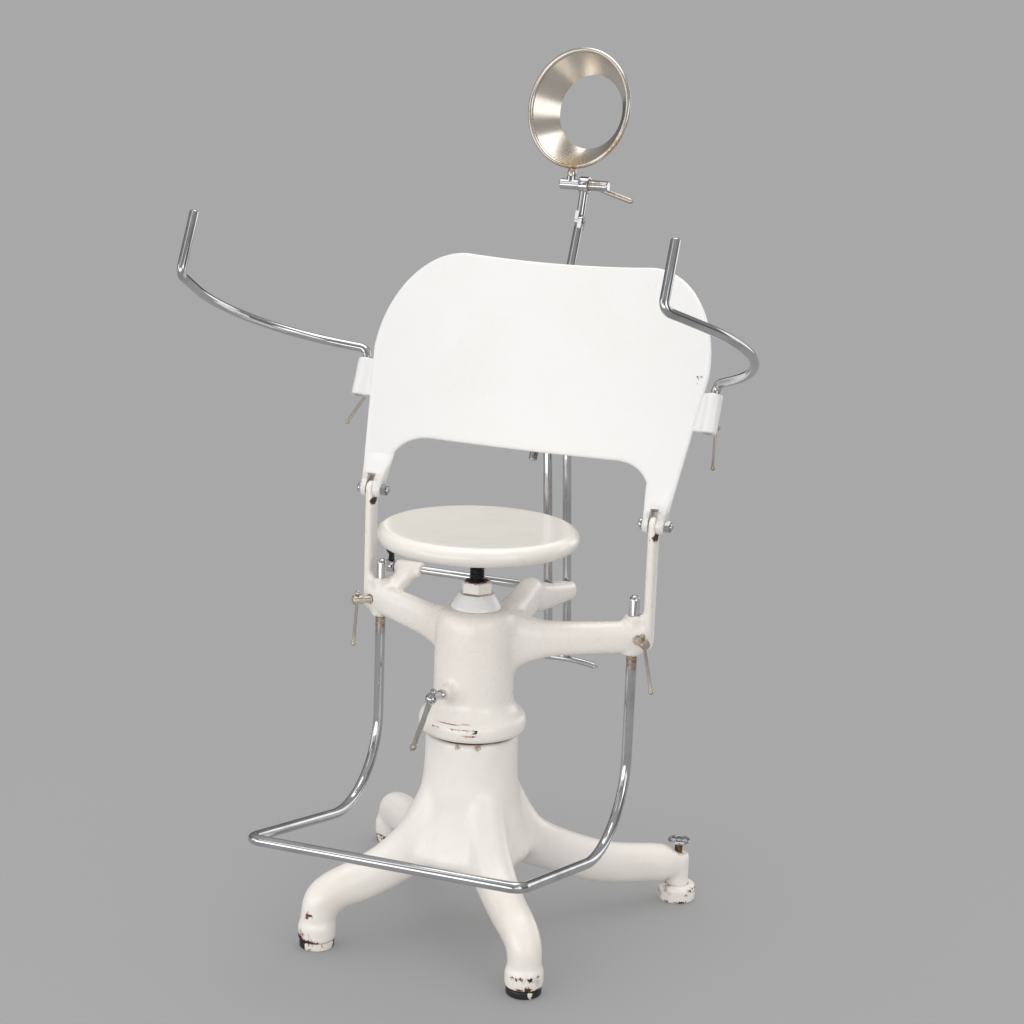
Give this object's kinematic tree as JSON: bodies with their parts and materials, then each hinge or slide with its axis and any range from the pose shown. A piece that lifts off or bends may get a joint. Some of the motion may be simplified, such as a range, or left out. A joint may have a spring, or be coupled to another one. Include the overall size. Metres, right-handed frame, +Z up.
{
  "type": "ear nose and throat chair",
  "caption": "Examination chair with splayed cast base, swivelling cast frame, round screw seat, reclining curved back, swinging arm rods, sliding footrest and tilting funnel head ring.",
  "frame": {"origin": "on the floor, on the axis of the column that the chair swivels on", "axes": "+Z up, the sitter faces -Y, +X is to the sitter's left"},
  "size_m": [0.8678, 0.7604, 1.3306],
  "materials": {
    "cream_enamel": "glossy cream enamel on cast iron, worn",
    "white_enamel": "glossy white enamel",
    "painted_wood": "glossy cream paint on turned wood",
    "chrome": "polished plate",
    "nickel": "worn nickel plate",
    "steel": "machined",
    "bronze": "tarnished",
    "blackened_steel": "blackened",
    "black_knob": "moulded",
    "rubber": "worn"
  },
  "bodies": {
    "base": {"base_casting": "cream_enamel", "rubber_foot_front_left": "rubber", "rubber_foot_front_right": "rubber", "rubber_foot_rear_left": "rubber", "swivel_post": "steel", "bearing_washer": "bronze"},
    "levelling_pad": {"levelling_foot": "cream_enamel"},
    "levelling_wheel": {"levelling_screw": "bronze", "levelling_wheel": "chrome"},
    "upper_frame": {"upper_casting": "cream_enamel", "nut_collar": "cream_enamel", "seat_nut": "cream_enamel"},
    "swivel_lock": {"swivel_lock_lever": "chrome"},
    "seat_lift": {"screw_stop_disc": "steel"},
    "seat": {"seat_disc": "painted_wood", "seat_flange": "blackened_steel", "seat_screw": "blackened_steel"},
    "footrest": {"footrest_rod": "chrome"},
    "footrest_clamp_left": {"footrest_clamp_left": "nickel"},
    "footrest_clamp_right": {"footrest_clamp_right": "nickel"},
    "footrest_bar_left": {"footrest_bar_left": "nickel"},
    "footrest_bar_right": {"footrest_bar_right": "nickel"},
    "lock_shaft": {"lock_shaft": "chrome", "lock_knob": "black_knob"},
    "back": {"back_plate": "white_enamel", "hinge_bolt_left": "steel", "hinge_bolt_right": "steel", "hinge_nut_left": "steel", "hinge_nut_right": "steel", "strut_bracket": "cream_enamel", "strut_pin": "steel", "head_clamp": "cream_enamel", "head_guide": "cream_enamel"},
    "strut": {"strut_head": "steel", "strut_rod_front": "chrome"},
    "strut_grip": {"strut_rod_rear": "chrome", "strut_grip": "chrome"},
    "arm_left": {"arm_rod_left": "chrome"},
    "arm_right": {"arm_rod_right": "chrome"},
    "arm_clamp_left": {"arm_clamp_left": "nickel"},
    "arm_clamp_right": {"arm_clamp_right": "nickel"},
    "arm_bar_left": {"arm_bar_left": "nickel"},
    "arm_bar_right": {"arm_bar_right": "nickel"},
    "head_rod": {"head_rod": "chrome", "knuckle_pin": "steel"},
    "head_knob": {"head_clamp_knob": "chrome"},
    "head_link": {"head_link": "chrome"},
    "head_lever": {"head_clamp_lever": "nickel"},
    "head_barrel": {"head_barrel": "chrome"},
    "head_ring": {"head_neck": "nickel", "head_ring": "nickel"}
  },
  "joints": [
    {"name": "levelling_slide", "type": "slide", "parent": "base", "child": "levelling_pad", "axis": [0, 0, 1], "range_m": [-0.005, 0]},
    {"name": "levelling_turn", "type": "hinge", "parent": "levelling_pad", "child": "levelling_wheel", "pos_m": [0.25597, 0.25597, 0.09], "axis": [0, 0, 1], "range_deg": [-1205, 0]},
    {"name": "swivel", "type": "hinge", "parent": "base", "child": "upper_frame", "pos_m": [0, 0, 0.3216], "axis": [0, 0, 1], "continuous": true},
    {"name": "swivel_lock_turn", "type": "hinge", "parent": "upper_frame", "child": "swivel_lock", "pos_m": [0, 0, 0.3946], "axis": [-0.1908, -0.9816, 0], "range_deg": [-50, 70]},
    {"name": "seat_rise", "type": "slide", "parent": "upper_frame", "child": "seat_lift", "axis": [0, 0, 1], "range_m": [-0.0305, 0.0685]},
    {"name": "seat_spin", "type": "hinge", "parent": "seat_lift", "child": "seat", "pos_m": [0, 0, 0.6], "axis": [0, 0, 1], "range_deg": [-1349, 3060]},
    {"name": "footrest_slide", "type": "slide", "parent": "upper_frame", "child": "footrest", "axis": [0, 0, 1], "range_m": [-0.02, 0.08]},
    {"name": "footrest_clamp_turn_left", "type": "hinge", "parent": "upper_frame", "child": "footrest_clamp_left", "pos_m": [-0.212, 0.106, 0.4696], "axis": [-0.7071, -0.7071, 0], "range_deg": [-45, 135]},
    {"name": "footrest_bar_slide_left", "type": "slide", "parent": "footrest_clamp_left", "child": "footrest_bar_left", "axis": [0.147, -0.147, 0.9781], "range_m": [0, 0.064]},
    {"name": "footrest_clamp_turn_right", "type": "hinge", "parent": "upper_frame", "child": "footrest_clamp_right", "pos_m": [0.212, 0.106, 0.4696], "axis": [0.7071, -0.7071, 0], "range_deg": [-45, 135]},
    {"name": "footrest_bar_slide_right", "type": "slide", "parent": "footrest_clamp_right", "child": "footrest_bar_right", "axis": [-0.147, -0.147, 0.9781], "range_m": [0, 0.064]},
    {"name": "lock_shaft_turn", "type": "hinge", "parent": "upper_frame", "child": "lock_shaft", "pos_m": [0, 0.143, 0.5146], "axis": [1, 0, 0], "range_deg": [-60, 30]},
    {"name": "recline", "type": "hinge", "parent": "upper_frame", "child": "back", "pos_m": [0, 0.112, 0.644], "axis": [-1, 0, 0], "range_deg": [-18, 16]},
    {"name": "strut_swing", "type": "hinge", "parent": "back", "child": "strut", "pos_m": [0.03, 0.22464, 0.73503], "axis": [-1, 0, 0], "range_deg": [-12.5, 13.5]},
    {"name": "strut_grip_turn", "type": "hinge", "parent": "strut", "child": "strut_grip", "pos_m": [0.03, 0.2644, 0.73942], "axis": [0, -0.1097, 0.994], "range_deg": [-45, 45]},
    {"name": "head_rod_slide", "type": "slide", "parent": "back", "child": "head_rod", "axis": [0, 0.3987, 0.9171], "range_m": [-0.05, 0.07]},
    {"name": "head_clamp_turn", "type": "hinge", "parent": "back", "child": "head_knob", "pos_m": [0, 0.28481, 0.89599], "axis": [0, 0.9171, -0.3987], "range_deg": [-180, 180]},
    {"name": "knuckle_tilt", "type": "hinge", "parent": "head_rod", "child": "head_link", "pos_m": [0, 0.35699, 1.06198], "axis": [-1, 0, 0], "range_deg": [-40, 60]},
    {"name": "head_lever_turn", "type": "hinge", "parent": "head_link", "child": "head_lever", "pos_m": [-0.004, 0.38828, 1.11831], "axis": [0, 0.9588, -0.284], "range_deg": [-30, 60]},
    {"name": "head_tilt", "type": "hinge", "parent": "head_link", "child": "head_barrel", "pos_m": [0, 0.37329, 1.11701], "axis": [-1, 0, 0], "range_deg": [-35, 35]},
    {"name": "ring_swivel", "type": "hinge", "parent": "head_barrel", "child": "head_ring", "pos_m": [-0.024, 0.37329, 1.11701], "axis": [0, 0.165, 0.9863], "range_deg": [-40, 40]},
    {"name": "arm_swing_left", "type": "hinge", "parent": "back", "child": "arm_left", "pos_m": [-0.291, 0.17022, 0.77789], "axis": [0, -0.3987, -0.9171], "range_deg": [-55, 35]},
    {"name": "arm_clamp_turn_left", "type": "hinge", "parent": "back", "child": "arm_clamp_left", "pos_m": [-0.291, 0.17819, 0.79623], "axis": [0, 0.9171, -0.3987], "range_deg": [-60, 60]},
    {"name": "arm_bar_slide_left", "type": "slide", "parent": "arm_clamp_left", "child": "arm_bar_left", "axis": [0.4384, 0.3584, 0.8242], "range_m": [0, 0.053]},
    {"name": "arm_swing_right", "type": "hinge", "parent": "back", "child": "arm_right", "pos_m": [0.291, 0.17022, 0.77789], "axis": [0, 0.3987, 0.9171], "range_deg": [-35, 55]},
    {"name": "arm_clamp_turn_right", "type": "hinge", "parent": "back", "child": "arm_clamp_right", "pos_m": [0.291, 0.17819, 0.79623], "axis": [0, 0.9171, -0.3987], "range_deg": [-60, 60]},
    {"name": "arm_bar_slide_right", "type": "slide", "parent": "arm_clamp_right", "child": "arm_bar_right", "axis": [-0.1045, 0.3966, 0.912], "range_m": [0, 0.053]}
  ],
  "couplings": [
    {"joint": "levelling_turn", "follows": "levelling_slide", "rad_per_m": 4188.8},
    {"joint": "seat_rise", "follows": "seat_spin", "m_per_rad": 0.0012732},
    {"joint": "strut_swing", "follows": "recline", "ratio": -0.685}
  ]
}
